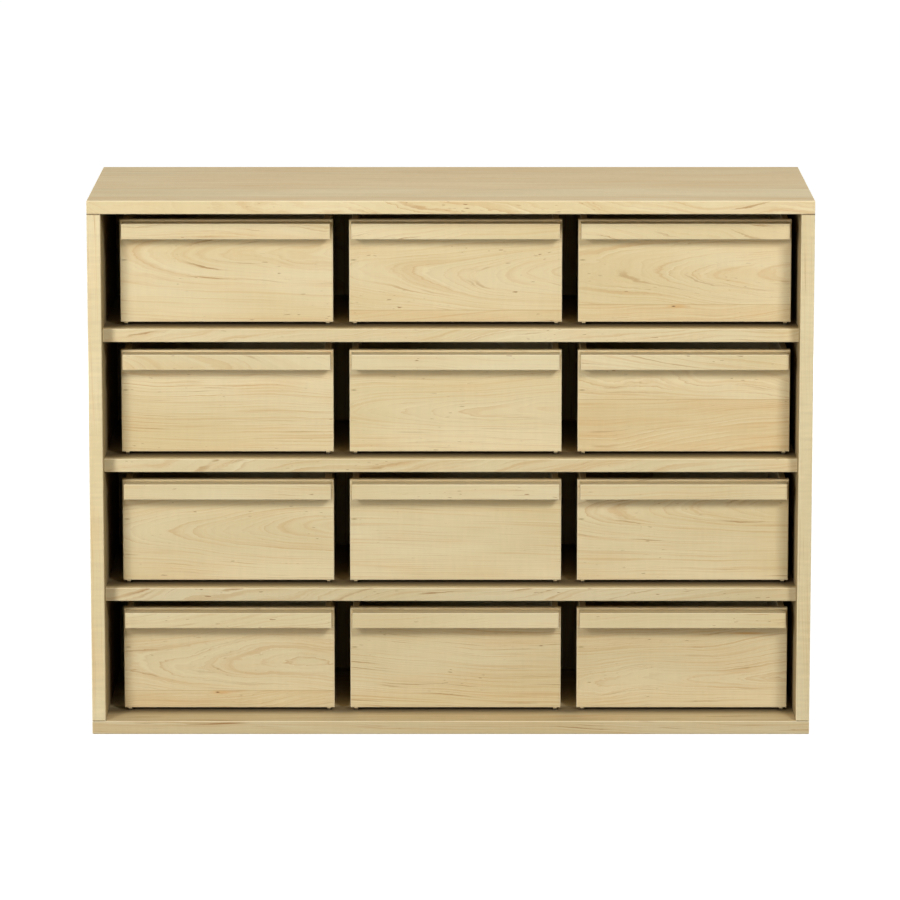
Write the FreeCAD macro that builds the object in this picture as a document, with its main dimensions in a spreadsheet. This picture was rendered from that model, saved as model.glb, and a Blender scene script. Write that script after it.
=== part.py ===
import FreeCAD, Part

import os

import Sketcher

# Free-standing maple cabinet with twelve loose wooden trays on three shelves and the floor
# panel. X is to the right, Y to the back and Z up, in millimetres. The origin is on the floor,
# under the middle of the case.

TRAY_ROWS = ("r1", "r2", "r3", "r4")
TRAY_COLUMNS = ("left", "middle", "right")
SHELVES = ("lower_shelf", "middle_shelf", "upper_shelf")

# Each driving size: its name, its value in millimetres and what it measures.
SIZES = (
    ("case_width", 1016.0, "outside width of the case"),
    ("case_depth", 381.0, "outside depth of the case"),
    ("case_height", 762.0, "outside height of the case"),
    ("panel_thickness", 19.05, "top, bottom, sides and shelves"),
    ("edge_radius", 1.5, "eased edge of every board of the case"),
    ("shelf_set_back", 33.5, "shelf's front edge behind the case's front"),
    ("dado_depth", 6.0, "shelf's housing in each side"),
    ("dado_stop", 10.0, "how far behind the shelf's front edge the housing stops"),
    ("dado_clearance", 0.2, "play of a shelf in its housing"),
    ("back_thickness", 6.35, "plywood back panel"),
    ("back_inset", 19.05, "back panel's rear face ahead of the case's rear edge"),
    ("groove_depth", 6.0, "back panel's groove in the case"),
    ("groove_clearance", 0.2, "play of the back panel in its groove"),
    ("spline_thickness", 6.0, "spline between a side and the top or bottom panel"),
    ("spline_in_slab", 8.0, "spline's reach into the top or bottom panel"),
    ("spline_in_side", 12.0, "spline's reach into the side"),
    ("spline_clearance", 0.1, "glue gap all round a spline"),
    ("spline_front_stop", 30.0, "spline's grooves stop behind the case's front"),
    ("spline_rear_stop", 60.0, "spline's grooves stop ahead of the case's rear edge"),
    ("tray_recess", 66.0, "tray front's face behind the case's front"),
    ("tray_rear_gap", 9.6, "air behind a tray"),
    ("tray_gap_left", 23.1, "air between the left side and the left trays"),
    ("tray_gap_right", 9.4, "air between the right side and the right trays"),
    ("tray_gap_between", 22.7, "air between two columns of trays"),
    ("tray_headroom", 16.2, "air over a tray"),
    ("tray_edge_radius", 1.5, "eased edge of a tray's front and handle"),
    ("wall_edge_radius", 1.0, "eased top edge of a tray's walls"),
    ("front_thickness", 12.0, "tray's front board"),
    ("wall_thickness", 9.0, "tray's side and rear boards"),
    ("wall_inset", 4.0, "tray's side ahead of the end of its front board"),
    ("housing_depth", 4.0, "tray side's housing in the front board"),
    ("housing_clearance", 0.1, "play of a tray's side in its housing"),
    ("rabbet_depth", 4.5, "rear board's rabbet in a tray's side"),
    ("rabbet_clearance", 0.1, "glue gap round the rear board's end"),
    ("tray_bottom_thickness", 4.0, "tray's plywood bottom"),
    ("tray_bottom_rise", 6.0, "tray's bottom above its boards' lower edge"),
    ("tray_groove_depth", 4.0, "groove for a tray's bottom"),
    ("tray_bottom_clearance", 0.2, "play of a tray's bottom in its groove"),
    ("handle_height", 22.2, "handle strip"),
    ("handle_depth", 25.4, "how far the handle strip stands proud"),
    ("handle_inset", 3.4, "handle strip's end ahead of the front board's end"),
    ("handle_drop", 2.8, "handle strip's top below the front board's top"),
    ("runner_width", 5.0, "runner under each of a tray's sides"),
    ("runner_height", 4.6, "runner under each of a tray's sides"),
    ("runner_inset", 5.5, "runner ahead of the end of the tray's front board"),
    ("runner_clearance", 0.2, "air under a runner"),
    ("nose_height", 1.7, "upright part of a runner's bevelled ends"),
    ("nose_length", 6.0, "length of the bevel at a runner's ends"),
)

# Lengths that follow from the driving sizes.
T = "Sizes.panel_thickness"
INSIDE_WIDTH = f"(Sizes.case_width - 2 * {T})"
INSIDE_HEIGHT = f"(Sizes.case_height - 2 * {T})"
BAY_HEIGHT = f"(({INSIDE_HEIGHT} - {len(SHELVES)} * {T}) / {len(SHELVES) + 1})"
BAY_PITCH = f"({BAY_HEIGHT} + {T})"
BACK_FACE = "(Sizes.case_depth - Sizes.back_inset - Sizes.back_thickness)"
SPLINE_SPAN = "(Sizes.case_depth - Sizes.spline_front_stop - Sizes.spline_rear_stop)"
SPLINE_SLOT = "(Sizes.spline_thickness + 2 * Sizes.spline_clearance)"

OUTER_GAPS = "(Sizes.tray_gap_left + Sizes.tray_gap_right)"
INNER_GAPS = f"({len(TRAY_COLUMNS) - 1} * Sizes.tray_gap_between)"
TRAY_WIDTH = f"(({INSIDE_WIDTH} - {OUTER_GAPS} - {INNER_GAPS}) / {len(TRAY_COLUMNS)})"
TRAY_PITCH = f"({TRAY_WIDTH} + Sizes.tray_gap_between)"
TRAY_LIFT = "(Sizes.runner_height + Sizes.runner_clearance)"
TRAY_HEIGHT = f"({BAY_HEIGHT} - {TRAY_LIFT} - Sizes.tray_headroom)"
TRAY_DEPTH = f"({BACK_FACE} - Sizes.tray_recess - Sizes.tray_rear_gap)"
WALL = "Sizes.wall_thickness"
WALL_INNER = f"(Sizes.wall_inset + {WALL})"
REAR_RABBET = f"({WALL} + Sizes.rabbet_clearance)"
REAR_TONGUE = "(Sizes.rabbet_depth - Sizes.rabbet_clearance)"
TRAY_INSIDE_WIDTH = f"({TRAY_WIDTH} - 2 * {WALL_INNER})"
BOTTOM_GROOVE = "(Sizes.tray_bottom_thickness + Sizes.tray_bottom_clearance)"
BOTTOM_TONGUE = "(Sizes.tray_groove_depth - Sizes.tray_bottom_clearance)"

doc = FreeCAD.newDocument("TrayCabinet")
sheet = doc.addObject("Spreadsheet::Sheet", "Sizes")
for line, (alias, value, meaning) in enumerate(SIZES, start=1):
    sheet.set(f"A{line}", meaning)
    sheet.set(f"B{line}", str(value))
    sheet.setAlias(f"B{line}", alias)
doc.recompute()


def measure(expression):
    """Value of an expression of the sheet's sizes, in millimetres."""
    return float(sheet.evalExpression(expression))


def bind_place(thing, x="0", y="0", z="0", name="Placement"):
    """Tie a thing's place to expressions of the sheet's sizes."""
    for axis, expression in (("x", x), ("y", y), ("z", z)):
        if expression != "0":
            thing.setExpression(f"{name}.Base.{axis}", expression)


def new_body(label):
    body = doc.addObject("PartDesign::Body", label)
    body.Label = label
    return body


def origin_plane(body, role):
    for feature in body.Origin.OriginFeatures:
        if feature.Role == role:
            return feature
    raise ValueError(f"no origin feature {role}")


def new_sketch(body, name, plane="XY_Plane", offset="0"):
    """Sketch on one of the body's origin planes, moved along the plane's normal."""
    sketch = body.newObject("Sketcher::SketchObject", name)
    sketch.AttachmentSupport = (origin_plane(body, plane), "")
    sketch.MapMode = "FlatFace"
    bind_place(sketch, z=offset, name="AttachmentOffset")
    return sketch


def pin_point(sketch, geometry, point, u, v):
    """Hold one point of a sketch at the sizes u and v from the sketch's origin."""
    for kind, axis, expression in (("DistanceX", -2, u), ("DistanceY", -1, v)):
        if expression == "0":
            sketch.addConstraint(Sketcher.Constraint("PointOnObject", geometry, point, axis))
        else:
            start = measure(expression)
            index = sketch.addConstraint(Sketcher.Constraint(kind, -1, 1, geometry, point, start))
            sketch.setExpression(f"Constraints[{index}]", expression)


def draw_outline(sketch, corners):
    """Closed outline of straight lines through corners given as pairs of expressions."""
    points = [FreeCAD.Vector(measure(u), measure(v), 0) for u, v in corners]
    first = sketch.GeometryCount
    count = len(points)
    for index in range(count):
        sketch.addGeometry(Part.LineSegment(points[index], points[(index + 1) % count]), False)
    for index in range(count):
        following = first + (index + 1) % count
        sketch.addConstraint(Sketcher.Constraint("Coincident", first + index, 2, following, 1))
    for index, (u, v) in enumerate(corners):
        pin_point(sketch, first + index, 1, u, v)


def draw_rectangle(sketch, low_u, low_v, high_u, high_v):
    draw_outline(sketch, ((low_u, low_v), (high_u, low_v), (high_u, high_v), (low_u, high_v)))


def pad(body, sketch, length, backwards=False):
    feature = body.newObject("PartDesign::Pad", f"{sketch.Name}_pad")
    feature.Profile = sketch
    feature.Reversed = backwards
    feature.setExpression("Length", length)
    doc.recompute()
    return feature


def require_cut(body, before, name):
    """A cut that takes nothing away shows no error, so the volumes are compared."""
    if body.Shape.Volume > before - 1.0:
        raise RuntimeError(f"{name} cuts nothing from {body.Label}")


def pocket(body, sketch, depth, backwards=False):
    before = body.Shape.Volume
    feature = body.newObject("PartDesign::Pocket", f"{sketch.Name}_pocket")
    feature.Profile = sketch
    feature.Reversed = backwards
    feature.setExpression("Length", depth)
    doc.recompute()
    require_cut(body, before, feature.Name)
    return feature


def repeat(body, feature, role, count, span):
    """Linear pattern of a cut along one of the body's axes, over the whole span."""
    before = body.Shape.Volume
    pattern = body.newObject("PartDesign::LinearPattern", f"{feature.Name}_row")
    pattern.Originals = [feature]
    pattern.Direction = (origin_plane(body, role), [""])
    pattern.Occurrences = count
    pattern.setExpression("Length", span)
    body.Tip = pattern
    doc.recompute()
    require_cut(body, before, pattern.Name)


def trench(body, name, low, size):
    """Straight cut, such as a groove, a housing or a rabbet, as a box of the given size."""
    before = body.Shape.Volume
    cut = body.newObject("PartDesign::SubtractiveBox", name)
    cut.AttachmentSupport = (origin_plane(body, "XY_Plane"), "")
    cut.MapMode = "FlatFace"
    bind_place(cut, *low, name="AttachmentOffset")
    for side, expression in zip(("Length", "Width", "Height"), size):
        cut.setExpression(side, expression)
    doc.recompute()
    require_cut(body, before, name)


def ease(body, radius, wanted):
    """Round the edges of the body whose bounding box passes the test."""
    base = body.Tip
    names = []
    for index, edge in enumerate(base.Shape.Edges, start=1):
        if wanted(edge.BoundBox):
            names.append(f"Edge{index}")
    fillet = body.newObject("PartDesign::Fillet", f"{body.Name}_eased")
    fillet.Base = (base, names)
    fillet.setExpression("Radius", radius)
    doc.recompute()


def copy_of(master, label, x="0", y="0", z="0"):
    """A copy of a modelled piece, or of a group of pieces, at its own place."""
    copy = doc.addObject("Part::Compound", label)
    copy.Label = label
    copy.Links = master if isinstance(master, list) else [master]
    bind_place(copy, x, y, z)
    return copy


def mirror_of(source, label, axis, plane_at="0"):
    """Mirror image of a piece in the plane across an axis."""
    mirror = doc.addObject("Part::Mirroring", label)
    mirror.Label = label
    mirror.Source = source
    mirror.Normal = FreeCAD.Vector(*(1.0 if name == axis else 0.0 for name in "xyz"))
    if plane_at != "0":
        mirror.setExpression(f"Base.{axis}", plane_at)
    return mirror


def near(first, second):
    return abs(first - second) < 0.01


def runs_along(box, axis):
    """True for an edge that is parallel to an axis."""
    lengths = {"x": box.XLength, "y": box.YLength, "z": box.ZLength}
    across = [length for name, length in lengths.items() if name != axis]
    return lengths[axis] > 1.0 and max(across) < 0.01


# Case


def case_slab():
    """Top panel, with the back's groove and two stopped spline grooves in its underside."""
    body = new_body("top_panel")
    outline = new_sketch(body, "slab_outline")
    draw_rectangle(outline, "0", "0", "Sizes.case_width", "Sizes.case_depth")
    pad(body, outline, T)
    ease(body, "Sizes.edge_radius", lambda box: True)
    trench(
        body,
        "slab_back_groove",
        (f"{T} - Sizes.groove_depth", BACK_FACE),
        (
            f"{INSIDE_WIDTH} + 2 * Sizes.groove_depth",
            "Sizes.back_thickness + Sizes.groove_clearance",
            "Sizes.groove_depth",
        ),
    )
    for name, centre in (("left", f"{T} / 2"), ("right", f"Sizes.case_width - {T} / 2")):
        trench(
            body,
            f"slab_{name}_spline_groove",
            (f"{centre} - {SPLINE_SLOT} / 2", "Sizes.spline_front_stop"),
            (SPLINE_SLOT, SPLINE_SPAN, "Sizes.spline_in_slab + Sizes.spline_clearance"),
        )
    bind_place(body, "-Sizes.case_width / 2", "-Sizes.case_depth / 2", f"Sizes.case_height - {T}")
    return body


def case_side():
    """Left side, with the shelves' stopped housings and the back's groove in its inner face."""
    body = new_body("left_side")
    outline = new_sketch(body, "side_outline")
    draw_rectangle(outline, "0", "0", T, "Sizes.case_depth")
    pad(body, outline, INSIDE_HEIGHT)
    ease(body, "Sizes.edge_radius", lambda box: runs_along(box, "z"))
    trench(
        body,
        "side_back_groove",
        (f"{T} - Sizes.groove_depth", BACK_FACE),
        ("Sizes.groove_depth", "Sizes.back_thickness + Sizes.groove_clearance", INSIDE_HEIGHT),
    )
    housing = new_sketch(body, "side_shelf_housing", "YZ_Plane", T)
    draw_rectangle(
        housing,
        "Sizes.shelf_set_back + Sizes.dado_stop - Sizes.dado_clearance",
        BAY_HEIGHT,
        BACK_FACE,
        f"{BAY_PITCH} + Sizes.dado_clearance",
    )
    housed = pocket(body, housing, "Sizes.dado_depth")
    repeat(body, housed, "Z_Axis", len(SHELVES), f"{len(SHELVES) - 1} * {BAY_PITCH}")
    reach = "(Sizes.spline_in_side + Sizes.spline_clearance)"
    for name, low in (("foot", "0"), ("head", f"{INSIDE_HEIGHT} - {reach}")):
        trench(
            body,
            f"side_{name}_spline_groove",
            (f"{T} / 2 - {SPLINE_SLOT} / 2", "Sizes.spline_front_stop", low),
            (SPLINE_SLOT, SPLINE_SPAN, reach),
        )
    bind_place(body, "-Sizes.case_width / 2", "-Sizes.case_depth / 2", T)
    return body


def shelf_board():
    """Shelf whose ends enter the sides' housings behind a notch at each front corner."""
    tongue = "(Sizes.dado_depth - Sizes.dado_clearance)"
    length = f"({INSIDE_WIDTH} + 2 * {tongue})"
    body = new_body("shelf_board")
    outline = new_sketch(body, "shelf_outline")
    corners = (
        (tongue, "0"),
        (f"{INSIDE_WIDTH} + {tongue}", "0"),
        (f"{INSIDE_WIDTH} + {tongue}", "Sizes.dado_stop"),
        (length, "Sizes.dado_stop"),
        (length, f"{BACK_FACE} - Sizes.shelf_set_back"),
        ("0", f"{BACK_FACE} - Sizes.shelf_set_back"),
        ("0", "Sizes.dado_stop"),
        (tongue, "Sizes.dado_stop"),
    )
    draw_outline(outline, corners)
    pad(body, outline, T)
    ease(body, "Sizes.edge_radius", lambda box: runs_along(box, "x") and near(box.YMax, 0.0))
    bind_place(body, f"-{length} / 2", "Sizes.shelf_set_back - Sizes.case_depth / 2", T)
    return body


def back_panel():
    """Plywood panel held in the grooves of the top, the bottom and both sides."""
    tongue = "(Sizes.groove_depth - Sizes.groove_clearance)"
    body = new_body("back_panel")
    outline = new_sketch(body, "back_outline")
    draw_rectangle(
        outline,
        "0",
        "0",
        f"{INSIDE_WIDTH} + 2 * {tongue}",
        "Sizes.back_thickness",
    )
    pad(body, outline, f"{INSIDE_HEIGHT} + 2 * {tongue}")
    bind_place(
        body,
        f"-{INSIDE_WIDTH} / 2 - {tongue}",
        f"{BACK_FACE} - Sizes.case_depth / 2",
        f"{T} - {tongue}",
    )
    return body


def case_splines():
    """Four splines, one in each corner joint of the case."""
    body = new_body("spline")
    outline = new_sketch(body, "spline_outline")
    length = f"{SPLINE_SPAN} - 2 * Sizes.spline_clearance"
    draw_rectangle(outline, "0", "0", "Sizes.spline_thickness", length)
    pad(body, outline, "Sizes.spline_in_slab + Sizes.spline_in_side")
    left = f"(-Sizes.case_width / 2 + {T} / 2 - Sizes.spline_thickness / 2)"
    right = f"(Sizes.case_width / 2 - {T} / 2 - Sizes.spline_thickness / 2)"
    low = f"{T} - Sizes.spline_in_slab"
    high = f"Sizes.case_height - {T} - Sizes.spline_in_side"
    y = "Sizes.spline_front_stop + Sizes.spline_clearance - Sizes.case_depth / 2"
    splines = [
        copy_of(body, "spline_low_left", left, y, low),
        copy_of(body, "spline_low_right", right, y, low),
        copy_of(body, "spline_high_left", left, y, high),
        copy_of(body, "spline_high_right", right, y, high),
    ]
    return copy_of(splines, "case_splines")


# Tray, in its own frame: X from its left end, Y from its front board's face, Z from the
# lower edge of its boards.


def tray_front():
    """Front board with housings for the sides and a stopped groove for the bottom."""
    body = new_body("tray_front")
    outline = new_sketch(body, "front_outline")
    draw_rectangle(outline, "0", "0", TRAY_WIDTH, "Sizes.front_thickness")
    board = pad(body, outline, TRAY_HEIGHT)
    top = board.Shape.BoundBox.ZMax
    ease(
        body,
        "Sizes.tray_edge_radius",
        lambda box: near(box.YMax, 0.0) or (runs_along(box, "x") and near(box.ZMin, top)),
    )
    for name, low in (("left", "Sizes.wall_inset"), ("right", f"{TRAY_WIDTH} - {WALL_INNER}")):
        trench(
            body,
            f"front_{name}_housing",
            (f"{low} - Sizes.housing_clearance / 2", "Sizes.front_thickness - Sizes.housing_depth"),
            (f"{WALL} + Sizes.housing_clearance", "Sizes.housing_depth", TRAY_HEIGHT),
        )
    trench(
        body,
        "front_bottom_groove",
        (WALL_INNER, "Sizes.front_thickness - Sizes.tray_groove_depth", "Sizes.tray_bottom_rise"),
        (TRAY_INSIDE_WIDTH, "Sizes.tray_groove_depth", BOTTOM_GROOVE),
    )
    return body


def tray_handle():
    """Strip along the top of the front board, which the fingers pull from below."""
    body = new_body("tray_handle")
    outline = new_sketch(body, "handle_section", "YZ_Plane")
    draw_rectangle(outline, "-Sizes.handle_depth", "0", "0", "Sizes.handle_height")
    strip = pad(body, outline, f"{TRAY_WIDTH} - 2 * Sizes.handle_inset")
    front = strip.Shape.BoundBox.YMin
    ease(body, "Sizes.tray_edge_radius", lambda box: near(box.YMax, front))
    rise = f"{TRAY_HEIGHT} - Sizes.handle_drop - Sizes.handle_height"
    bind_place(body, x="Sizes.handle_inset", z=rise)
    return body


def grooved_board(label, plane, thickness, length, backwards=False):
    """Board whose section, with the bottom's groove on its inner side, runs along its length."""
    body = new_body(label)
    section = new_sketch(body, f"{label}_section", plane)
    groove_top = f"Sizes.tray_bottom_rise + {BOTTOM_GROOVE}"
    corners = (
        ("0", "0"),
        (thickness, "0"),
        (thickness, "Sizes.tray_bottom_rise"),
        (f"{thickness} - Sizes.tray_groove_depth", "Sizes.tray_bottom_rise"),
        (f"{thickness} - Sizes.tray_groove_depth", groove_top),
        (thickness, groove_top),
        (thickness, TRAY_HEIGHT),
        ("0", TRAY_HEIGHT),
    )
    draw_outline(section, corners)
    board = pad(body, section, length, backwards)
    top = board.Shape.BoundBox.ZMax
    ease(body, "Sizes.wall_edge_radius", lambda box: near(box.ZMin, top) and box.DiagonalLength > 50)
    return body


def tray_box():
    """Side, rear and bottom boards, four pieces that make the tray's box with its front."""
    start = "(Sizes.front_thickness - Sizes.housing_depth)"
    length = f"({TRAY_DEPTH} - {start})"
    left = grooved_board("tray_left_wall", "XZ_Plane", WALL, length, backwards=True)
    trench(
        left,
        "wall_rabbet",
        (f"{WALL} - Sizes.rabbet_depth", f"{length} - {REAR_RABBET}"),
        ("Sizes.rabbet_depth", REAR_RABBET, TRAY_HEIGHT),
    )
    bind_place(left, x="Sizes.wall_inset", y=start)
    right = mirror_of(left, "tray_right_wall", "x", f"{TRAY_WIDTH} / 2")

    across = f"{TRAY_INSIDE_WIDTH} + 2 * {REAR_TONGUE}"
    rear = grooved_board("tray_rear_wall", "YZ_Plane", WALL, across)
    rear.Placement.Rotation = FreeCAD.Rotation(FreeCAD.Vector(0, 0, 1), 180)
    bind_place(rear, x=f"{TRAY_WIDTH} - {WALL_INNER} + {REAR_TONGUE}", y=TRAY_DEPTH)

    bottom = new_body("tray_bottom")
    outline = new_sketch(bottom, "bottom_outline")
    depth = f"{TRAY_DEPTH} - {WALL} - Sizes.front_thickness + 2 * {BOTTOM_TONGUE}"
    draw_rectangle(outline, "0", "0", f"{TRAY_INSIDE_WIDTH} + 2 * {BOTTOM_TONGUE}", depth)
    pad(bottom, outline, "Sizes.tray_bottom_thickness")
    bind_place(
        bottom,
        f"{WALL_INNER} - {BOTTOM_TONGUE}",
        f"Sizes.front_thickness - {BOTTOM_TONGUE}",
        "Sizes.tray_bottom_rise",
    )
    return [left, right, rear, bottom]


def tray_runners():
    """Two strips under the sides, bevelled at both ends so that they ride over a shelf's edge."""
    body = new_body("runner")
    profile = new_sketch(body, "runner_profile", "YZ_Plane")
    front = "Sizes.tray_edge_radius"
    rear = f"({TRAY_DEPTH} - Sizes.tray_edge_radius)"
    corners = (
        (front, "0"),
        (front, "-Sizes.nose_height"),
        (f"{front} + Sizes.nose_length", "-Sizes.runner_height"),
        (f"{rear} - Sizes.nose_length", "-Sizes.runner_height"),
        (rear, "-Sizes.nose_height"),
        (rear, "0"),
    )
    draw_outline(profile, corners)
    pad(body, profile, "Sizes.runner_width")
    across = f"{TRAY_WIDTH} - Sizes.runner_inset - Sizes.runner_width"
    return [
        copy_of(body, "runner_left", "Sizes.runner_inset"),
        copy_of(body, "runner_right", across),
    ]


def place_trays():
    """Twelve trays, each of four nodes, in rows counted from the top."""
    pieces = {
        "front": tray_front(),
        "handle": tray_handle(),
        "box": tray_box(),
        "runners": tray_runners(),
    }
    y = "Sizes.tray_recess - Sizes.case_depth / 2"
    placed = []
    for row, row_name in enumerate(TRAY_ROWS):
        bays_below = len(TRAY_ROWS) - 1 - row
        z = f"{T} + {bays_below} * {BAY_PITCH} + {TRAY_LIFT}"
        for column, column_name in enumerate(TRAY_COLUMNS):
            x = f"-{INSIDE_WIDTH} / 2 + Sizes.tray_gap_left + {column} * {TRAY_PITCH}"
            for piece_name, master in pieces.items():
                label = f"tray_{row_name}_{column_name}_{piece_name}"
                placed.append(copy_of(master, label, x, y, z))
    return placed


def build_case():
    top = case_slab()
    left = case_side()
    shelf = shelf_board()
    bottom = mirror_of(top, "bottom_panel", "z", "Sizes.case_height / 2")
    right = mirror_of(left, "right_side", "x")
    nodes = [top, bottom, left, right, back_panel(), case_splines()]
    for bays, label in enumerate(SHELVES, start=1):
        rise = f"{bays} * {BAY_HEIGHT} + {bays - 1} * {T}"
        nodes.append(copy_of(shelf, label, z=rise))
    return nodes


nodes = build_case() + place_trays()
doc.recompute()

for thing in doc.Objects:
    if "Invalid" in thing.State or "Error" in thing.State:
        raise RuntimeError(f"{thing.Label} failed: {thing.State}")
for node in nodes:
    if node.Shape.isNull() or not node.Shape.isValid() or not node.Shape.Solids:
        raise RuntimeError(f"{node.Label} has no valid shape")

os.makedirs("parts", exist_ok=True)
for node in nodes:
    node.Shape.exportStep(os.path.join("parts", f"{node.Label}.step"))
print(f"{len(nodes)} nodes, {sum(len(node.Shape.Solids) for node in nodes)} solids")
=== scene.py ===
import math
import random
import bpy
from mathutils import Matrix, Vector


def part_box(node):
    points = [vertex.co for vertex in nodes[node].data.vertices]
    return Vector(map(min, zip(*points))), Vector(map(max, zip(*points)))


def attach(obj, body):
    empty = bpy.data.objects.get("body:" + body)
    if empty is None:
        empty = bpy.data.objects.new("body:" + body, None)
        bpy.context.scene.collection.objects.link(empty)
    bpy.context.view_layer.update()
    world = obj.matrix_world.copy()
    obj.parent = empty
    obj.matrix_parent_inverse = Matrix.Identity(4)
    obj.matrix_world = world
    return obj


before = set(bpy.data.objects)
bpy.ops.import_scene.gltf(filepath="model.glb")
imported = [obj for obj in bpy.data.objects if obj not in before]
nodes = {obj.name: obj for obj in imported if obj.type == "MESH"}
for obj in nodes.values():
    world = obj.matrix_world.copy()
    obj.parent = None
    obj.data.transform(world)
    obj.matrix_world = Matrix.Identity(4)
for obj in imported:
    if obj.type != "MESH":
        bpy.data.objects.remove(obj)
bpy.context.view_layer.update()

from types import SimpleNamespace

import bmesh
import bpy
from mathutils import Vector

# Looks of the tray cabinet, in metres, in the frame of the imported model: X to the right, Y to the
# back, Z up, and the origin on the floor under the middle of the case.

scene = bpy.context.scene

ROWS = ("r1", "r2", "r3", "r4")
COLUMNS = ("left", "middle", "right")


def centre_of(node):
    low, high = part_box(node)
    return (low + high) / 2


def half_size(node):
    low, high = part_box(node)
    return (high - low) / 2


# Shader graphs


class Graph:
    """Adds shader nodes with their inputs and links in one call."""

    def __init__(self, tree):
        self.tree = tree

    def add(self, kind, values=None, **settings):
        node = self.tree.nodes.new(kind)
        for name, value in settings.items():
            setattr(node, name, value)
        for name, value in (values or {}).items():
            socket = node.inputs[name]
            if isinstance(value, bpy.types.NodeSocket):
                self.tree.links.new(value, socket)
            else:
                socket.default_value = value
        return node

    def math(self, operation, first, second=0.0, third=0.0):
        values = {0: first, 1: second, 2: third}
        return self.add("ShaderNodeMath", values, operation=operation).outputs[0]

    def plus(self, first, second):
        return self.math("ADD", first, second)

    def minus(self, first, second):
        return self.math("SUBTRACT", first, second)

    def times(self, product, *factors):
        for factor in factors:
            product = self.math("MULTIPLY", product, factor)
        return product

    def linear(self, value, factor, offset):
        """value times factor, plus offset."""
        return self.math("MULTIPLY_ADD", value, factor, offset)

    def size(self, value):
        return self.math("ABSOLUTE", value)

    def ramp(self, value, low, high, to_low=0.0, to_high=1.0):
        """Value from low to high, mapped smoothly to the second range."""
        values = {
            "Value": value,
            "From Min": low,
            "From Max": high,
            "To Min": to_low,
            "To Max": to_high,
        }
        node = self.add("ShaderNodeMapRange", values, interpolation_type="SMOOTHSTEP", clamp=True)
        return node.outputs["Result"]

    def vector(self, x, y, z):
        return self.add("ShaderNodeCombineXYZ", {"X": x, "Y": y, "Z": z}).outputs[0]

    def parts(self, vector):
        """The X, Y and Z of a vector."""
        return self.add("ShaderNodeSeparateXYZ", {0: vector}).outputs

    def scaled(self, vector, scale):
        values = {0: vector, 1: scale}
        return self.add("ShaderNodeVectorMath", values, operation="MULTIPLY").outputs[0]

    def place(self):
        """The point in the object's own frame."""
        return self.add("ShaderNodeTexCoord").outputs["Object"]

    def facing(self):
        """X, Y and Z of the direction that the surface faces."""
        return self.parts(self.add("ShaderNodeTexCoord").outputs["Normal"])

    def noise(self, vector, detail=2.0, roughness=0.5, seed=0.0):
        """Noise of the vector, from 0 to 1, with 0.5 as its middle."""
        values = {
            "Vector": vector,
            "W": seed,
            "Scale": 1.0,
            "Detail": detail,
            "Roughness": roughness,
        }
        return self.add("ShaderNodeTexNoise", values, noise_dimensions="4D").outputs[0]

    def chance(self, value):
        """A random number from 0 to 1 that belongs to the value."""
        return self.add("ShaderNodeTexWhiteNoise", {"W": value}, noise_dimensions="1D").outputs[0]

    def mix(self, factor, first, second, blend="MIX"):
        values = {0: factor, 6: first, 7: second}
        settings = dict(data_type="RGBA", blend_type=blend, clamp_factor=True)
        return self.add("ShaderNodeMix", values, **settings).outputs[2]

    def surface(self, shader):
        self.add("ShaderNodeOutputMaterial", {"Surface": shader})


def new_material(name):
    material = bpy.data.materials.new(name)
    material.use_nodes = True
    material.node_tree.nodes.clear()
    return material, Graph(material.node_tree)


def paint(node, material):
    """Gives a CAD node one material."""
    slots = nodes[node].data.materials
    slots.clear()
    slots.append(material)


def srgb(red, green, blue):
    """Linear colour of a display colour given from 0 to 255."""
    parts = []
    for value in (red, green, blue):
        share = value / 255.0
        parts.append(share / 12.92 if share <= 0.04045 else ((share + 0.055) / 1.055) ** 2.4)
    return (*parts, 1.0)


# Maple

FIGURE_INPUTS = {
    "Seed": 0.0,
    "Heart": 0.0,  # height of the pith on the face, from the middle of the board
    "Depth": 0.06,  # distance of the pith from the middle plane of the board
    "Taper": 0.05,  # how fast that distance grows along the board
    "Wander": 1.0,
    "Rings": 0.6,
    "Streaks": 0.5,
    "Flecks": 0.5,
    "Curl": 0.3,
    "Seam": -0.1,  # height of the first glue joint
    "Width": 0.25,  # of each stave
    "Warmth": 0.0,
    "Tone": 0.0,  # percent of extra brightness
}

PALE, TAN = srgb(232, 216, 174), srgb(221, 202, 155)
BLUSH, HONEY = srgb(226, 196, 146), srgb(218, 187, 133)
GLUE = srgb(188, 150, 98)

# Each layer of the figure: the input that sets its strength, its depth, and its colour.
LAYERS = {
    "early": ("Rings", 0.42, srgb(240, 226, 188)),
    "hair": ("Rings", 0.54, srgb(202, 163, 108)),
    "late": ("Rings", 0.78, srgb(196, 150, 94)),
    "streak": ("Streaks", 0.80, srgb(170, 124, 70)),
    "fleck": ("Flecks", 0.95, srgb(150, 104, 56)),
}

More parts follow.
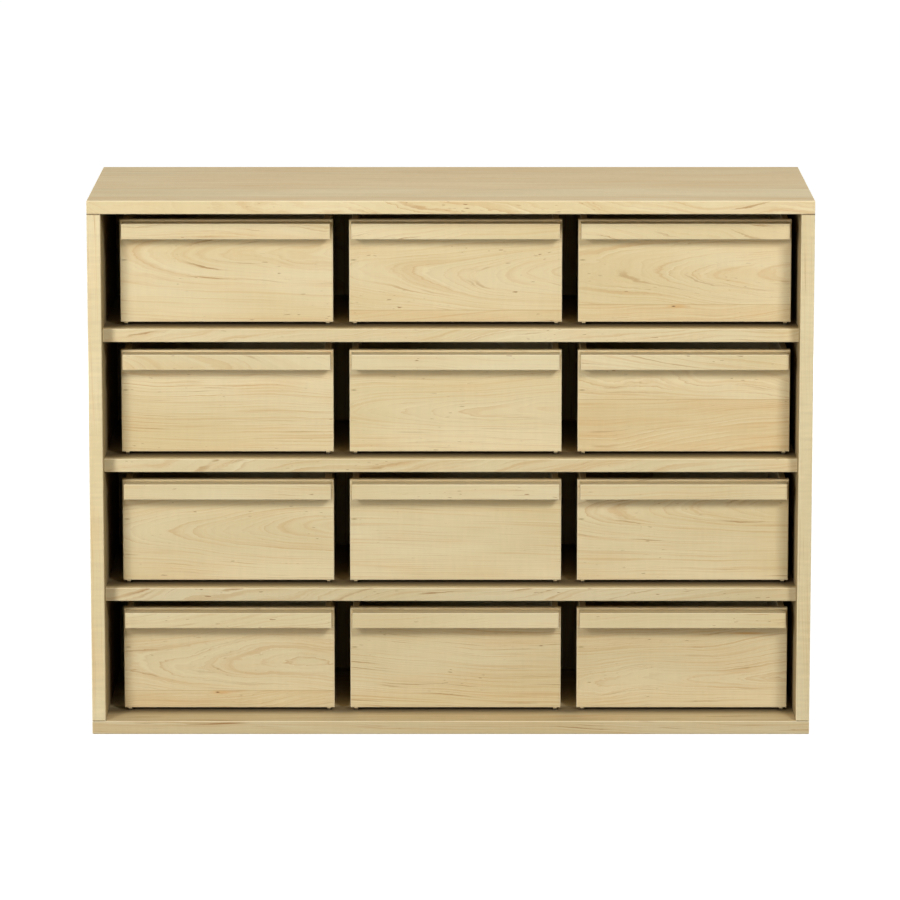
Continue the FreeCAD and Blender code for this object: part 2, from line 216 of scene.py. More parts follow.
# Noise in the wood: waves to a metre along and across the grain, seed, detail and roughness.
NOISES = {
    "sway": (2.4, 5.0, 0.0, 2.0, 0.5),
    "dive": (3.4, 9.0, 11.0, 2.0, 0.5),
    "ripple": (15.0, 48.0, 23.0, 4.0, 0.6),
    "fray": (60.0, 300.0, 29.0, 2.0, 0.5),
    "streak_area": (5.0, 22.0, 47.0, 2.0, 0.5),
    "fleck_area": (9.0, 24.0, 61.0, 2.0, 0.5),
    "fibre": (38.0, 1500.0, 0.0, 3.0, 0.7),
    "curl": (170.0, 26.0, 71.0, 2.0, 0.5),
    "cloud": (3.0, 12.0, 83.0, 3.0, 0.5),
    "amber": (6.0, 75.0, 97.0, 4.0, 0.6),
    "blush": (8.0, 55.0, 103.0, 3.0, 0.5),
    "hair": (4.0, 460.0, 67.0, 3.0, 0.6),
    "streak": (8.0, 560.0, 41.0, 2.0, 0.5),
    "fleck": (78.0, 520.0, 53.0, 1.0, 0.5),
}
# Noise up to the first number leaves no mark, and from the second on a full one.
CUTS = {
    "hair": (0.48, 0.72),
    "streak": (0.60, 0.72),
    "streak_area": (0.40, 0.56),
    "fleck": (0.69, 0.76),
    "fleck_area": (0.47, 0.60),
    "cloud": (0.30, 0.70),
    "blush": (0.48, 0.75),
    "amber": (0.38, 0.66),
    "fade": (0.38, 0.60),
}
# How far these move the rings, in metres.
REACH = {"sway": 0.044, "dive": 0.028, "ripple": 0.0026, "fray": 0.0010}

RINGS_PER_METRE = 430.0
UNEVEN_WAVES, UNEVEN_TURNS = 70.0, 3.6  # the rings crowd together and spread out
FADE_ALONG, FADE_ACROSS = 12.0, 0.9  # and each of them fades in and out
WEAKEST_RING = 0.22
FAINTEST_PART = 0.15
EARLY_START, EARLY_END = (0.0, 0.10), (0.12, 0.45)  # of the early wood, in years
LATE_WOOD_POWER = 7.0  # a high power keeps the dark line at the end of the year
LATE_END = (0.99, 1.0)
STEEP = (0.08, 0.32)  # streaks show where the rings meet the face at a steep angle
BLUSH_SHARE, AMBER_SHARES = 0.40, (0.40, 0.95)
FIRST_STAVE_WARMTH = 0.20  # the others have the full one
JOINT_LINE = (0.0002, 0.0008)  # a glue joint, from its middle to its edge
JOINT_SHARE = 0.45
FIBRE_HEIGHT, LATE_HEIGHT = 0.6, 0.4

# How much the brightness varies with each of these.
FIBRE_SHADE, HAIR_SHADE, CURL_SHADE = 0.10, 0.11, 0.22
STAVE_SHADE, STAVE_OFFSET = 0.07, -0.05

# Each stave is cut from another place of the plank, with another seed.
STAVE_SHIFT = 0.83
STAVE_TURN_BACK = -0.8
STAVE_SEED = 3.7


def cut_staves(g, given):
    """The board is glued up from staves. They start at the seam, each with its own figure."""
    parts = g.parts(given["Vector"])
    turn = g.math("DIVIDE", g.minus(parts["Y"], given["Seam"]), given["Width"])
    number = g.math("FLOOR", turn)
    share = g.math("FRACT", turn)
    stave = SimpleNamespace(inward=parts["Z"])
    stave.along = g.linear(number, STAVE_SHIFT, parts["X"])
    stave.across = g.linear(g.times(number, given["Width"]), STAVE_TURN_BACK, parts["Y"])
    stave.seed = g.linear(number, STAVE_SEED, given["Seed"])
    stave.other = g.math("MINIMUM", g.size(number), 1.0)
    stave.luck = g.chance(stave.seed)
    stave.joint = g.times(g.math("MINIMUM", share, g.minus(1.0, share)), given["Width"])
    stave.place = g.vector(stave.along, stave.across, stave.inward)
    return stave


def patchy(g, stave, name):
    """Noise in the stave."""
    along, across, seed, detail, roughness = NOISES[name]
    place = g.scaled(stave.place, (along, across, across))
    return g.noise(place, detail=detail, roughness=roughness, seed=g.plus(stave.seed, seed))


def lines(g, stave, name, radius, inward=None):
    """Noise drawn out along the rings, or along the grain where inward is given."""
    along, across, seed, detail, roughness = NOISES[name]
    depth = 0.0 if inward is None else g.times(inward, across)
    run = g.vector(g.times(stave.along, along), g.times(radius, across), depth)
    return g.noise(run, detail=detail, roughness=roughness, seed=g.plus(stave.seed, seed))


def pith_distance(g, given, stave):
    """Distance to the pith, across the face and in all. The pith wanders along the board."""

    def wander(name):
        reach = g.times(given["Wander"], REACH[name])
        return g.times(g.minus(patchy(g, stave, name), 0.5), reach)

    side = g.plus(g.minus(stave.across, given["Heart"]), wander("sway"))
    below = g.plus(stave.inward, given["Depth"])
    below = g.plus(below, g.times(stave.along, given["Taper"]))
    below = g.plus(below, wander("dive"))
    squares = g.plus(g.math("POWER", side, 2.0), g.math("POWER", below, 2.0))
    radius = g.plus(g.math("SQRT", squares), wander("ripple"))
    return side, g.plus(radius, wander("fray"))


def growth_rings(g, stave, radius):
    """Shares of pale early wood and of dark late wood. Rings differ in width and strength."""
    uneven = g.noise(g.vector(g.times(radius, UNEVEN_WAVES), 0.0, 0.0), seed=stave.seed)
    turns = g.linear(radius, RINGS_PER_METRE, g.times(uneven, UNEVEN_TURNS))
    year = g.math("FRACT", turns)
    ring = g.math("FLOOR", turns)
    chance = g.chance(g.plus(ring, stave.seed))
    fade = g.vector(g.times(stave.along, FADE_ALONG), g.times(ring, FADE_ACROSS), 0.0)
    fade = g.ramp(g.noise(fade, seed=stave.seed), *CUTS["fade"], FAINTEST_PART, 1.0)
    strength = g.linear(g.math("POWER", chance, 2.0), 1.0 - WEAKEST_RING, WEAKEST_RING)
    strength = g.times(strength, fade)
    late = g.times(g.math("POWER", year, LATE_WOOD_POWER), g.ramp(year, *LATE_END, 1.0, 0.0))
    early = g.times(g.ramp(year, *EARLY_START), g.ramp(year, *EARLY_END, 1.0, 0.0))
    return g.times(early, strength), g.times(late, strength)


def mineral_streaks(g, stave, side, radius):
    """Long dark lines along the rings."""
    streak = g.ramp(lines(g, stave, "streak", radius), *CUTS["streak"])
    area = g.ramp(patchy(g, stave, "streak_area"), *CUTS["streak_area"])
    steep = g.math("DIVIDE", g.size(side), radius)
    return g.times(streak, area, g.ramp(steep, *STEEP))


def dark_flecks(g, stave, side):
    """Short dark dashes."""
    fleck = g.ramp(lines(g, stave, "fleck", side, stave.inward), *CUTS["fleck"])
    return g.times(fleck, g.ramp(patchy(g, stave, "fleck_area"), *CUTS["fleck_area"]))


def ground_colour(g, given, stave):
    """Colour of the wood between its marks. Later staves are warmer than the first one."""
    cloud = g.ramp(patchy(g, stave, "cloud"), *CUTS["cloud"])
    blush = g.ramp(patchy(g, stave, "blush"), *CUTS["blush"], 0.0, BLUSH_SHARE)
    amber = g.ramp(patchy(g, stave, "amber"), *CUTS["amber"], *AMBER_SHARES)
    colour = g.mix(blush, g.mix(cloud, PALE, TAN), BLUSH)
    share = g.linear(stave.other, 1.0 - FIRST_STAVE_WARMTH, FIRST_STAVE_WARMTH)
    return g.mix(g.times(given["Warmth"], share, amber), colour, HONEY)


def brightness(g, given, stave, fibre, hair):
    """A grey that the colour is multiplied with. The first stave keeps the board's own tone."""
    shade = g.linear(fibre, FIBRE_SHADE, 1.0 - FIBRE_SHADE / 2)
    shade = g.plus(shade, g.linear(hair, HAIR_SHADE, -HAIR_SHADE / 2))
    curl = g.times(given["Curl"], CURL_SHADE)
    shade = g.plus(shade, g.times(g.minus(patchy(g, stave, "curl"), 0.5), curl))
    shade = g.plus(shade, g.times(given["Tone"], 0.01))
    luck = g.linear(stave.luck, STAVE_SHADE, STAVE_OFFSET)
    shade = g.plus(shade, g.times(stave.other, luck))
    return g.vector(shade, shade, shade)


def maple_figure():
    """Plain-sawn maple. X is along the grain, Y across the face and Z into the board."""
    group = bpy.data.node_groups.new("maple_figure", "ShaderNodeTree")
    group.interface.new_socket("Vector", in_out="INPUT", socket_type="NodeSocketVector")
    for name, default in FIGURE_INPUTS.items():
        socket = group.interface.new_socket(name, in_out="INPUT", socket_type="NodeSocketFloat")
        socket.default_value = default
    group.interface.new_socket("Color", in_out="OUTPUT", socket_type="NodeSocketColor")
    group.interface.new_socket("Height", in_out="OUTPUT", socket_type="NodeSocketFloat")

    g = Graph(group)
    given = g.add("NodeGroupInput").outputs
    stave = cut_staves(g, given)
    side, radius = pith_distance(g, given, stave)
    early, late = growth_rings(g, stave, radius)
    fibre = patchy(g, stave, "fibre")
    hair = lines(g, stave, "hair", radius)
    shares = {
        "early": early,
        "hair": g.ramp(hair, *CUTS["hair"]),
        "late": late,
        "streak": mineral_streaks(g, stave, side, radius),
        "fleck": dark_flecks(g, stave, side),
    }
    colour = ground_colour(g, given, stave)
    for layer, (strength, depth, tint) in LAYERS.items():
        colour = g.mix(g.times(shares[layer], given[strength], depth), colour, tint)
    colour = g.mix(g.ramp(stave.joint, *JOINT_LINE, JOINT_SHARE, 0.0), colour, GLUE)
    colour = g.mix(1.0, colour, brightness(g, given, stave, fibre, hair), blend="MULTIPLY")
    height = g.minus(g.times(fibre, FIBRE_HEIGHT), g.times(late, LATE_HEIGHT))
    g.add("NodeGroupOutput", {"Color": colour, "Height": height})
    return group


FIGURE = maple_figure()


def board_seeds(step=7.31):
    seed = 1.0
    while True:
        seed += step
        yield seed


SEEDS = board_seeds()


def figured_wood(g, vector, figure):
    """Colour and height of the maple figure. Every call is a board of its own."""
    values = {"Vector": vector, "Seed": next(SEEDS)}
    values.update({key.capitalize(): value for key, value in figure.items()})
    return g.add("ShaderNodeGroup", values, node_tree=FIGURE).outputs


# Boards

BOARD_ROUGHNESS, TRAY_ROUGHNESS = 0.55, 0.6
GLOSS_ON_FIBRES = 0.10  # the grain's high places are rubbed smoother
GRAIN_DEPTH, GRAIN_BUMP = 0.00006, 0.35
LACQUER = {"IOR": 1.48, "Specular IOR Level": 0.2}
SKIN = 0.0004  # what lies no deeper than this is a face of the board
SAWN_END, SAWN_SHARE = srgb(196, 166, 116), 0.30
# Painted highlight on the rounded edges.
EDGE_HIGHLIGHT, EDGE_HIGHLIGHT_SHARE = srgb(247, 235, 202), 0.65

# Parts of the surface's direction: along the grain, and along its own nearest axis.
END_FACING, EDGE_FACING = (0.6, 0.95), (0.80, 0.98)


def board_parts(g, node):
    """X, Y and Z of a point, measured from the middle of the board."""
    values = {0: g.place(), 1: tuple(-c for c in centre_of(node))}
    return g.parts(g.add("ShaderNodeVectorMath", values, operation="ADD").outputs[0])


def board_vector(g, parts, grain, up):
    """The board's own coordinates: X along the grain, Y along the direction called up."""
    inward = next(axis for axis in "XYZ" if axis not in (grain, up))
    return g.vector(parts[grain], parts[up], parts[inward])


def end_grain(g, colour, grain):
    """Sawn ends soak up more lacquer, so they're darker."""
    share = g.ramp(g.size(g.facing()[grain]), *END_FACING)
    return g.mix(g.times(share, SAWN_SHARE), colour, SAWN_END)


def painted_edge_highlights(g, colour):
    """Painted highlight: rounded edges are paler than the faces."""
    x, y, z = [g.size(part) for part in g.facing()]
    most = g.math("MAXIMUM", g.math("MAXIMUM", x, y), z)
    return g.mix(g.ramp(most, *EDGE_FACING, EDGE_HIGHLIGHT_SHARE, 0.0), colour, EDGE_HIGHLIGHT)


def finish_wood(g, colour, height, roughness):
    bump = {"Height": height, "Strength": GRAIN_BUMP, "Distance": GRAIN_DEPTH}
    middle = FIBRE_HEIGHT / 2
    values = {
        "Base Color": painted_edge_highlights(g, colour),
        "Roughness": g.linear(height, -GLOSS_ON_FIBRES, roughness + GLOSS_ON_FIBRES * middle),
        "Normal": g.add("ShaderNodeBump", bump).outputs[0],
        **LACQUER,
    }
    g.surface(g.add("ShaderNodeBsdfPrincipled", values).outputs[0])


def maple(name, grain="X", up="Z", dress=None, **figure):
    """A board's material. dress(g, name, parts, colour) adds marks of its own to the colour."""
    material, g = new_material(name)
    parts = board_parts(g, name)
    colour, height = figured_wood(g, board_vector(g, parts, grain, up), figure)
    colour = end_grain(g, colour, grain)
    if dress:
        colour = dress(g, name, parts, colour)
    finish_wood(g, colour, height, BOARD_ROUGHNESS)
    return material


def on_face(g, name, parts, axis, sign=1.0):
    """1 on the face of the board that looks along the axis, and 0 elsewhere."""
    level = half_size(name)["XYZ".index(axis)] - SKIN
    return g.math("GREATER_THAN", g.times(parts[axis], sign), level)


# Case

EDGE_BAND = 0.0007
SIDE_SEAM = (0.0007, 0.0014)  # the dark line between a side and the panels
SEAM_SHADOW, SEAM_SHARE = srgb(110, 84, 46), 0.85
# Painted shade inside the case, on the shelf tops and on the inner faces of the sides.
INNER_SHADE, INNER_SHADE_SHARE = srgb(150, 130, 92), 0.85
INNER_SHADE_START = (0.003, 0.018)  # behind the front edge
# Painted shadow of the trays, on the shelf tops and the bottom panel in front of them.
TRAY_SHADOW, TRAY_SHADOW_SHARE = srgb(92, 76, 50), 0.75
TRAY_SHADOW_END = (0.012, 0.040)  # behind the trays' fronts
SHELF_TRAY_SHADOW, FLOOR_TRAY_SHADOW = (0.004, 0.034), (0.034, 0.068)  # from the front edge to the trays

# The top panel's front edge is painted brighter (tone): painted light.
SLAB_BAND = dict(
    heart=0.03, depth=0.03, wander=1.7, rings=1.0, streaks=1.3, flecks=1.0, warmth=0.6, tone=7
)
SHELF_BAND = dict(
    heart=-0.04, depth=0.04, wander=1.1, rings=0.9, streaks=1.1, flecks=1.0, warmth=0.6
)
# The lower shelves' edges are painted darker (tone): painted shade, as less light reaches low down.
SHELF_BAND_SHADE_TONES = {"upper_shelf": 0, "middle_shelf": -2, "lower_shelf": -10}


def edge_band(g, name, parts, colour, **figure):
    """A strip of maple, with a figure of its own, covers the front edge."""
    own, _ = figured_wood(g, board_vector(g, parts, "X", "Z"), figure)
    share = g.math("LESS_THAN", parts["Y"], EDGE_BAND - half_size(name).y)
    return g.mix(share, colour, own)


def painted_inner_shade(g, name, parts, colour, axis, sign):
    """Painted shade on a face inside the case, covering all of it except a little strip at the
    front edge.
    """
    start, full = INNER_SHADE_START
    front = -half_size(name).y
    shaded = g.ramp(parts["Y"], front + start, front + full)
    share = g.times(on_face(g, name, parts, axis, sign), shaded, INNER_SHADE_SHARE)
    return g.mix(share, colour, INNER_SHADE)


def painted_tray_shadow(g, name, parts, colour, near, far):
    """Painted shadow on the top face in front of the trays, fading out behind them. near and far
    are measured from the front edge.
    """
    thin, gone = TRAY_SHADOW_END
    front = -half_size(name).y
    shadow_share = g.ramp(parts["Y"], front + near, front + far, 0.0, TRAY_SHADOW_SHARE)
    end = g.ramp(parts["Y"], front + far + thin, front + far + gone, 1.0, 0.0)
    return g.mix(g.times(shadow_share, end, on_face(g, name, parts, "Z")), colour, TRAY_SHADOW)


def dressed_side(g, name, parts, colour):
    """Glue lines at both ends of a side, and painted shade on its inner face."""
    colour = painted_inner_shade(g, name, parts, colour, "X", 1.0 if name == "left_side" else -1.0)
    end = g.minus(half_size(name).z, g.size(parts["Z"]))
    return g.mix(g.ramp(end, *SIDE_SEAM, SEAM_SHARE, 0.0), colour, SEAM_SHADOW)


def dressed_slab(g, name, parts, colour):
    return edge_band(g, name, parts, colour, **SLAB_BAND)


def dressed_floor(g, name, parts, colour):
    return painted_tray_shadow(g, name, parts, colour, *FLOOR_TRAY_SHADOW)


def dressed_shelf(g, name, parts, colour):
    colour = painted_inner_shade(g, name, parts, colour, "Z", 1.0)
    colour = painted_tray_shadow(g, name, parts, colour, *SHELF_TRAY_SHADOW)
    return edge_band(g, name, parts, colour, **SHELF_BAND, tone=SHELF_BAND_SHADE_TONES[name])


SLAB = dict(depth=0.09, taper=0.02, wander=0.7, rings=0.6, streaks=0.7, flecks=0.3, warmth=0.45)
TOP = dict(SLAB, heart=0.03, seam=-0.146, width=0.084, warmth=0.75, tone=0)
# The bottom panel is painted darker (tone): painted shade, as less light reaches low down.
BOTTOM = dict(SLAB, heart=-0.05, seam=-0.12, width=0.09, rings=0.9, streaks=1.1, tone=-6)
SIDE = dict(depth=0.30, taper=0.02, wander=0.5, rings=0.6, streaks=0.5, flecks=0.1, curl=1.2)
# Both sides are painted brighter (tone), the left one most: painted light.
LEFT = dict(SIDE, heart=0.02, seam=-0.14, width=0.1, tone=11)
RIGHT = dict(SIDE, heart=-0.02, seam=-0.15, width=0.095, tone=2)
SHELF = dict(depth=0.06, taper=0.03, rings=0.6, streaks=0.6, flecks=0.4, width=0.08)
VENEER = dict(depth=0.12, taper=0.05, wander=1.5, rings=0.7, streaks=0.5, flecks=0.3, tone=-3)

# Each board: the direction of its grain, the direction across its staves, marks, and figure.
CASE_BOARDS = {
    "top_panel": ("X", "Y", dressed_slab, TOP),
    "bottom_panel": ("X", "Y", dressed_floor, BOTTOM),
    "left_side": ("Z", "Y", dressed_side, LEFT),
    "right_side": ("Z", "Y", dressed_side, RIGHT),
    "upper_shelf": ("X", "Y", dressed_shelf, dict(SHELF, heart=0.05, seam=-0.11)),
    "middle_shelf": ("X", "Y", dressed_shelf, dict(SHELF, heart=-0.01, seam=-0.09)),
    "lower_shelf": ("X", "Y", dressed_shelf, dict(SHELF, heart=0.02, seam=-0.12)),
    "back_panel": ("Z", "X", None, dict(VENEER, heart=0.1, width=0.31, seam=-0.155)),
    "case_splines": ("Y", "X", None, dict(VENEER, rings=0.4)),
}
for name, (grain, up, dress, figure) in CASE_BOARDS.items():
    paint(name, maple(name, grain, up, dress=dress, **figure))

# Trays

# Some fronts share a plank, and so a figure.
POINTED = dict(heart=-0.004, depth=0.045, taper=-0.08)
KNOTTED = dict(heart=0.004, depth=0.04, taper=-0.08, wander=1.6, rings=0.9, seam=-0.048)
STRAIGHT = dict(heart=0.11, depth=0.07, taper=-0.04, rings=1.2)
FRONT_FIGURES = {
    "r1_left": dict(heart=0.022, depth=0.05, taper=-0.06, rings=0.6, streaks=0.9, flecks=0.8),
    "r1_middle": dict(POINTED, rings=0.7, streaks=0.6, flecks=0.9, seam=-0.056, warmth=0.6),
    "r1_right": dict(KNOTTED, warmth=0.5),
    "r2_left": dict(STRAIGHT, streaks=1.0, flecks=0.6, warmth=0.4),
    "r2_middle": dict(heart=-0.01, depth=0.04, taper=-0.05, rings=0.8, streaks=0.6, flecks=0.6),
    "r2_right": dict(
        heart=0.05, depth=0.07, taper=-0.05, rings=1.0, flecks=0.8, seam=0.002, warmth=0.7
    ),
    "r3_left": dict(POINTED, rings=0.75, streaks=0.6, flecks=1.0),
    "r3_middle": dict(
        heart=0.12, depth=0.12, taper=-0.02, wander=0.5, rings=0.9, streaks=0.4, curl=0.35
    ),
    "r3_right": dict(heart=0.03, depth=0.05, taper=-0.06, rings=1.0, streaks=1.0, flecks=1.0),
    "r4_left": dict(KNOTTED, warmth=0.5),
    "r4_middle": dict(STRAIGHT, streaks=1.2, flecks=0.9),
    "r4_right": dict(
        heart=-0.03,
        depth=0.03,
        taper=-0.05,
        wander=1.8,
        rings=1.1,
        streaks=0.9,
        flecks=0.7,
        warmth=0.5,
    ),
}
FRONT_WARMTH = 0.2
ONE_STAVE, TWO_STAVES = 0.25, 0.2  # width of a stave
# The rows' tones are painted light and shade: the lower rows are darker, as less light reaches low
# down.
ROW_SHADE_TONES = {"r1": 0, "r2": 1, "r3": -2, "r4": -7}

AMBER, KNOT, FILLER = srgb(212, 164, 98), srgb(110, 72, 38), srgb(168, 142, 98)

# Marks on fronts: X and Z from the middle, half length and half height, share, and colour.
MARKS = {
    "r1_right": (
        (-0.010, -0.0505, 0.022, 0.0045, 0.6, AMBER),
        (-0.0155, -0.0505, 0.004, 0.0014, 1.0, KNOT),
    ),
    "r4_left": (
        (-0.012, -0.0505, 0.022, 0.0045, 0.6, AMBER),
        (-0.0170, -0.0505, 0.004, 0.0014, 1.0, KNOT),
    ),
    "r4_right": ((0.0936, 0.0356, 0.042, 0.0026, 0.9, AMBER),),
}
PIN_HOLE = (0.0155, 0.0065, 0.0018, 0.8, FILLER)  # as above, without X
PIN_HOLE_INSET = 0.006


def patch(g, parts, x, z, long, high):
    """Share of an oval round one point of a front, 1 in its middle and 0 past its rim."""
    across = g.math("DIVIDE", g.minus(parts["X"], x), long)
    up = g.math("DIVIDE", g.minus(parts["Z"], z), high)
    squares = g.plus(g.math("POWER", across, 2.0), g.math("POWER", up, 2.0))
    return g.ramp(g.math("SQRT", squares), 1.0, 0.0)


def dressed_front(g, name, parts, colour):
    """A filled pin hole near the left edge, and the marks of the board."""
    key = name.replace("tray_", "").replace("_front", "")
    hole = (PIN_HOLE_INSET - half_size(name).x, *PIN_HOLE)
    for x, z, long, high, share, tint in (*MARKS.get(key, ()), hole):
        colour = g.mix(g.times(patch(g, parts, x, z, long, high), share), colour, tint)
    return colour


def front_figure(row, column):
    figure = dict(warmth=FRONT_WARMTH, width=ONE_STAVE, tone=ROW_SHADE_TONES[row])
    figure.update(FRONT_FIGURES[f"{row}_{column}"])
    if "seam" in figure:
        figure["width"] = TWO_STAVES
    return figure


# The walls are a little darker all over (tone), as painted shade inside the trays.
WALL = dict(heart=0.02, depth=0.06, taper=0.04, rings=0.6, streaks=0.4, flecks=0.3, tone=-8)
WALL_THICKNESS = 0.0091  # a little more than the walls have, to take in their inner faces
RABBET_DEPTH = 0.0046  # the rear wall reaches this far into the side walls
# Painted shade on the tops of the tray walls.
WALL_TOP_SHADE, WALL_TOP_SHADE_SHARE = srgb(166, 142, 98), 0.6
# Painted shade on the lower parts of the runners.
RUNNER_SHADE = srgb(74, 62, 46)
RUNNER_SHADE_EDGE = (0.0010, 0.0014)  # up from the middle of the runner


def tray_box(name):
    """The grain runs to the back in the side walls, and from side to side in the others."""
    material, g = new_material(name)
    parts = board_parts(g, name)
    half = half_size(name)
    rear = g.math("GREATER_THAN", parts["Y"], half.y - WALL_THICKNESS)
    rim = g.linear(rear, RABBET_DEPTH, half.x - WALL_THICKNESS)
    wall = g.math("GREATER_THAN", g.size(parts["X"]), rim)
    flat = g.mix(rear, board_vector(g, parts, "X", "Y"), board_vector(g, parts, "X", "Z"))
    vector = g.mix(wall, flat, board_vector(g, parts, "Y", "Z"))
    colour, height = figured_wood(g, vector, WALL)
    # Painted shade on the tops of the walls.
    colour = g.mix(g.times(on_face(g, name, parts, "Z"), WALL_TOP_SHADE_SHARE), colour, WALL_TOP_SHADE)
    finish_wood(g, colour, height, TRAY_ROUGHNESS)
    return material


def dressed_runner(g, name, parts, colour):
    """Painted shade on the lower part of the runner, under the wood."""
    return g.mix(g.ramp(parts["Z"], *RUNNER_SHADE_EDGE, 1.0, 0.0), colour, RUNNER_SHADE)


draw = random.Random(12)


def strip_figure():
    return dict(
        heart=draw.choice((-1, 1)) * draw.uniform(0.02, 0.05),
        depth=draw.uniform(0.03, 0.09),
        taper=draw.uniform(-0.12, 0.12),
        wander=draw.uniform(0.8, 1.8),
        rings=draw.uniform(0.4, 0.8),
        streaks=draw.uniform(0.4, 1.0),
        flecks=draw.uniform(0.4, 1.0),
        tone=draw.uniform(-1.0, 1.0),
    )


for row in ROWS:
    for column in COLUMNS:
        front, handle, box, runners = (
            f"tray_{row}_{column}_{piece}" for piece in ("front", "handle", "box", "runners")
        )
        paint(front, maple(front, dress=dressed_front, **front_figure(row, column)))
        paint(handle, maple(handle, **strip_figure()))
        paint(box, tray_box(box))
        paint(runners, maple(runners, "Y", "X", dress=dressed_runner, rings=0.2))

# Screws, too small for the CAD: pan heads with a cross recess that face the back. Millimetres.

HEAD_RINGS = ((3.8, -0.1), (3.8, 0.5), (3.55, 1.2), (3.05, 1.8), (2.45, 2.2))  # radius, height
HEAD_SIDES = 32
RECESS_ARM = 1.9
RECESS_WIDTH = 0.85
RECESS_FLOOR = 0.9
RECESS_TAPER = 0.62
FIRST_TURN, NEXT_TURN = 0.3, 0.9  # of the recesses, in radians
SHARP_ANGLE = math.radians(35)

BRIGHT_ZINC, DULL_ZINC = srgb(176, 176, 172), srgb(146, 146, 142)
ZINC_WAVES = 900.0  # cloudy spots, to a metre
ZINC_ROUGHNESS, ZINC_VARIATION = 0.36, 0.16
BACK_SCREW_STEP = 0.215
HANDLE_SCREW_INSET = 0.06


def cross_outline(scale):
    """Twelve corners of the recess, in millimetres."""
    arm, half = RECESS_ARM * scale, RECESS_WIDTH * scale / 2
    corner = ((arm, -half), (arm, half), (half, half))
    return [
        (x * c - y * s, x * s + y * c)
        for c, s in ((1, 0), (0, 1), (-1, 0), (0, -1))
        for x, y in corner
    ]


def screw_head(bm, place, turn):
    """Adds one head whose seat is at place and whose recess is turned by the angle turn."""

    def spot(x, z, out):
        across = x * math.cos(turn) - z * math.sin(turn)
        up = x * math.sin(turn) + z * math.cos(turn)
        return bm.verts.new((place[0] + across / 1000, place[1] + out / 1000, place[2] + up / 1000))

    def loop_edges(loop):
        pairs = zip(loop, loop[1:] + loop[:1])
        return [bm.edges.get(pair) or bm.edges.new(pair) for pair in pairs]

    def wall(lower, upper):
        for i in range(len(lower)):
            j = (i + 1) % len(lower)
            bm.faces.new((lower[i], lower[j], upper[j], upper[i]))

    angles = [2 * math.pi * i / HEAD_SIDES for i in range(HEAD_SIDES)]
    rings = [[spot(r * math.cos(a), r * math.sin(a), out) for a in angles] for r, out in HEAD_RINGS]
    for lower, upper in zip(rings, rings[1:]):
        wall(lower, upper)
    bm.faces.new(rings[0])
    rim = [spot(x, z, HEAD_RINGS[-1][1]) for x, z in cross_outline(1.0)]
    bottom = [spot(x, z, RECESS_FLOOR) for x, z in cross_outline(RECESS_TAPER)]
    bmesh.ops.triangle_fill(bm, use_beauty=True, edges=loop_edges(rings[-1]) + loop_edges(rim))
    wall(rim, bottom)
    bm.faces.new(bottom)


def screws(name, body, places, material):
    """One piece with a screw head at each place."""
    bm = bmesh.new()
    for index, place in enumerate(places):
        screw_head(bm, place, NEXT_TURN * index + FIRST_TURN)
    bmesh.ops.recalc_face_normals(bm, faces=bm.faces)
    mesh = bpy.data.meshes.new(name)
    bm.to_mesh(mesh)
    bm.free()
    for polygon in mesh.polygons:
        polygon.use_smooth = True
    mesh.set_sharp_from_angle(angle=SHARP_ANGLE)
    mesh.materials.append(material)
    thing = bpy.data.objects.new(name, mesh)
    scene.collection.objects.link(thing)
    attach(thing, body)


def zinc():
    material, g = new_material("zinc_plate")
    cloud = g.noise(g.scaled(g.place(), (ZINC_WAVES,) * 3), detail=3.0, seed=2.0)
    values = {
        "Base Color": g.mix(cloud, BRIGHT_ZINC, DULL_ZINC),
        "Metallic": 1.0,
        "Roughness": g.linear(cloud, ZINC_VARIATION, ZINC_ROUGHNESS),
    }
    g.surface(g.add("ShaderNodeBsdfPrincipled", values).outputs[0])
    return material


ZINC = zinc()
back_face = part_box("back_panel")[1].y
back_places = [
    (step * BACK_SCREW_STEP, back_face, centre_of(shelf).z)
    for shelf in ("lower_shelf", "middle_shelf", "upper_shelf")
    for step in range(-2, 3)
]
screws("back_screws", "case", back_places, ZINC)
for row in ROWS:
    for column in COLUMNS:
        tray = f"tray_{row}_{column}"
        low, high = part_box(f"{tray}_front")
        level = centre_of(f"{tray}_handle").z
        ends = (low.x + HANDLE_SCREW_INSET, high.x - HANDLE_SCREW_INSET)
        places = [(x, high.y, level) for x in ends]
        screws(f"handle_screws_{row}_{column}", tray, places, ZINC)

# Floor, light and camera

FLOOR_SIZE = 60.0
SHADOW_REACH, WHITE_REACH = 1.2, 3.5  # the floor keeps the shadow up to here, and is white there
NEAR_GLOW = 0.87
SHOWN_GREY, BOUNCE_GREY = 0.3, 0.2  # of the floor, as seen and for the light it throws back
AMBIENT = 0.1

# Soft lamps round the object: place, diameter and power. All of them look at one target.
LAMP_TARGET = (0.0, -0.19, 0.38)
LAMPS = {
    "key_softbox": ((1.5, -3.2, 2.3), 0.8, 65.0),
    "left_softbox": ((-2.0, -3.4, 1.9), 0.7, 50.0),
    "fill_softbox": ((-3.2, -6.0, 1.2), 2.4, 109.0),
    "top_softbox": ((0.0, 0.3, 3.2), 2.5, 26.0),
    "back_softbox": ((0.0, 3.5, 0.35), 0.9, 62.0),
    "left_side_softbox": ((-3.0, 0.6, 0.35), 0.7, 34.0),
    "right_side_softbox": ((3.0, 0.6, 0.35), 0.7, 34.0),
}

# The camera, fitted to the photograph.
FRAME_PIXELS = 900
FOCAL_PIXELS = 5393.3
SENSOR_WIDTH = 36.0
CLIP = (0.1, 100.0)
CAMERA_PLACE = (0.0, -7.6465, 1.740)
CAMERA_DIP = 10.119
CAMERA_TURN = 0.0083


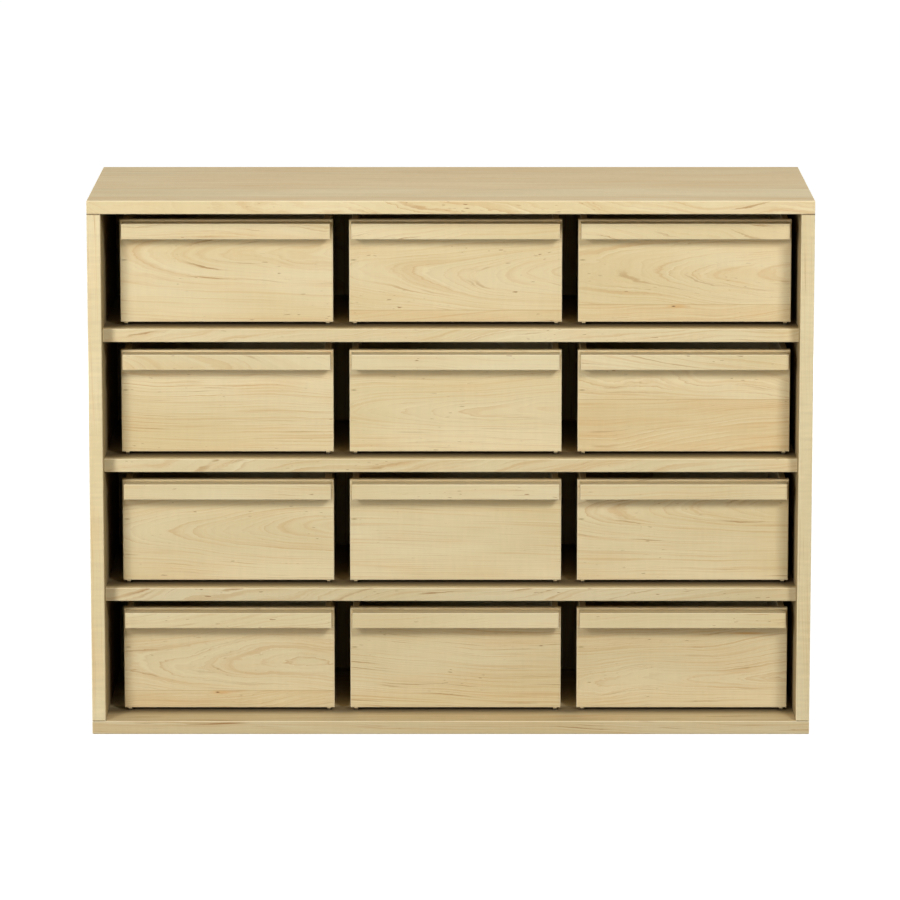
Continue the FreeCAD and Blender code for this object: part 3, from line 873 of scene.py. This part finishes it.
def seen_rays(g):
    """1 for rays that show the background: from the camera, off metal and through glass."""
    path = g.add("ShaderNodeLightPath").outputs
    seen = g.math("MAXIMUM", path["Is Camera Ray"], path["Is Glossy Ray"])
    return g.math("MAXIMUM", seen, path["Is Transmission Ray"])


def grey_matte(g, level):
    return g.add("ShaderNodeBsdfDiffuse", {"Color": (level, level, level, 1)}).outputs[0]


def studio_floor():
    """White all round, and pale with the shadow near the object. It throws back little light."""
    half = FLOOR_SIZE / 2
    corners = [(-half, -half, 0), (half, -half, 0), (half, half, 0), (-half, half, 0)]
    mesh = bpy.data.meshes.new("floor")
    mesh.from_pydata(corners, [], [(0, 1, 2, 3)])
    floor = bpy.data.objects.new("floor", mesh)
    scene.collection.objects.link(floor)
    material, g = new_material("floor")
    away = g.add("ShaderNodeVectorMath", {0: g.place()}, operation="LENGTH").outputs["Value"]
    glow = g.ramp(away, SHADOW_REACH, WHITE_REACH, NEAR_GLOW, 1.0)
    glow = g.add("ShaderNodeEmission", {"Color": (1, 1, 1, 1), "Strength": glow}).outputs[0]
    shown = g.add("ShaderNodeAddShader", {0: grey_matte(g, SHOWN_GREY), 1: glow}).outputs[0]
    values = {0: seen_rays(g), 1: grey_matte(g, BOUNCE_GREY), 2: shown}
    g.surface(g.add("ShaderNodeMixShader", values).outputs[0])
    mesh.materials.append(material)


def studio_world():
    """White where it is seen, and a weak light on the object."""
    world = bpy.data.worlds.new("studio")
    world.use_nodes = True
    world.node_tree.nodes.clear()
    g = Graph(world.node_tree)
    strength = g.linear(seen_rays(g), 1.0 - AMBIENT, AMBIENT)
    light = g.add("ShaderNodeBackground", {"Color": (1.0, 1.0, 1.0, 1.0), "Strength": strength})
    g.add("ShaderNodeOutputWorld", {"Surface": light.outputs[0]})
    scene.world = world


def lamp(name, place, diameter, power):
    light = bpy.data.lights.new(name, "AREA")
    light.shape = "DISK"
    light.size = diameter
    light.energy = power
    thing = bpy.data.objects.new(name, light)
    thing.location = place
    aim = Vector(LAMP_TARGET) - Vector(place)
    thing.rotation_euler = aim.to_track_quat("-Z", "Y").to_euler()
    scene.collection.objects.link(thing)


def photo_camera():
    camera = bpy.data.cameras.new("camera")
    camera.sensor_width = SENSOR_WIDTH
    camera.lens = FOCAL_PIXELS / FRAME_PIXELS * SENSOR_WIDTH
    camera.clip_start, camera.clip_end = CLIP
    viewer = bpy.data.objects.new("camera", camera)
    viewer.location = CAMERA_PLACE
    viewer.rotation_euler = (math.radians(90.0 - CAMERA_DIP), 0.0, math.radians(CAMERA_TURN))
    scene.collection.objects.link(viewer)
    scene.camera = viewer


studio_floor()
studio_world()
for name, (place, diameter, power) in LAMPS.items():
    lamp(name, place, diameter, power)
photo_camera()
scene.view_settings.view_transform = "Standard"
